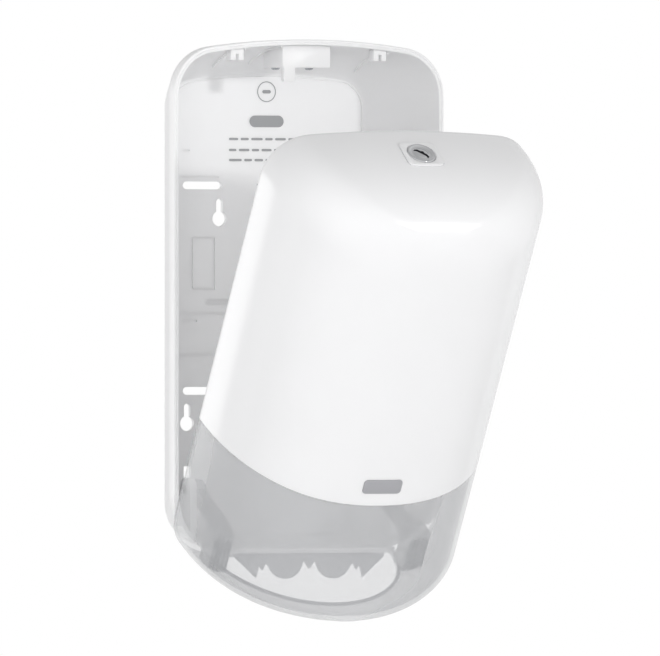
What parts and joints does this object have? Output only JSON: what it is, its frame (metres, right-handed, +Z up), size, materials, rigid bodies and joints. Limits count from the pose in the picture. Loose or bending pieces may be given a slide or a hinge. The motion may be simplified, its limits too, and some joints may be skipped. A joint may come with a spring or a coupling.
{
  "type": "wall mounted dispenser",
  "caption": "Wall mounted washroom paper dispenser with a back tray, a hinged cover that swings down to open, a clear lower window, a tear comb and a key lock.",
  "frame": {"origin": "midway between the two upper keyhole heads, on the wall face", "axes": "+X to the right seen from the room, +Y into the wall, +Z up"},
  "size_m": [0.193, 0.2598, 0.3736],
  "materials": {
    "tray_white": "satin moulded",
    "cover_white": "glossy moulded",
    "window_smoke": "glossy translucent",
    "comb_clear": "glossy translucent",
    "inner_white": "matt moulded",
    "badge_grey": "satin",
    "bezel_white": "satin",
    "lock_chrome": "polished",
    "lock_zinc": "cast",
    "latch_grey": "matt",
    "steel": "plated"
  },
  "bodies": {
    "wall_unit": {"rear_housing": "tray_white", "latch_keeper": "tray_white", "keeper_screws": "steel", "guide_block_left": "tray_white", "guide_block_right": "tray_white", "tear_comb": "comb_clear", "comb_screws": "steel", "hinge_pin_left": "steel", "hinge_pin_right": "steel"},
    "cover": {"cover_shell": "cover_white", "window_shell": "window_smoke", "window_clips": "inner_white", "hinge_arm_left": "inner_white", "hinge_arm_right": "inner_white", "arm_screws": "steel", "badge": "badge_grey", "lock_bezel": "bezel_white", "lock_housing": "inner_white", "lock_base": "inner_white", "lock_screws": "steel"},
    "key": {"key_plug": "lock_chrome", "lock_cam": "lock_zinc", "cam_screw": "steel"},
    "latch": {"latch_slide": "latch_grey", "latch_spring": "steel"}
  },
  "joints": [
    {"name": "cover_hinge", "type": "hinge", "parent": "wall_unit", "child": "cover", "pos_m": [0, -0.036, -0.175], "axis": [1, 0, 0], "range_deg": [-30, 0]},
    {"name": "key_turn", "type": "hinge", "parent": "cover", "child": "key", "pos_m": [0, -0.22842, 0.03968], "axis": [0, 0.6157, -0.788], "range_deg": [0, 90]},
    {"name": "latch_shift", "type": "slide", "parent": "cover", "child": "latch", "axis": [-1, 0, 0], "range_m": [0, 0.007]}
  ],
  "couplings": [
    {"joint": "latch_shift", "follows": "key_turn", "m_per_rad": 0.0044563}
  ]
}
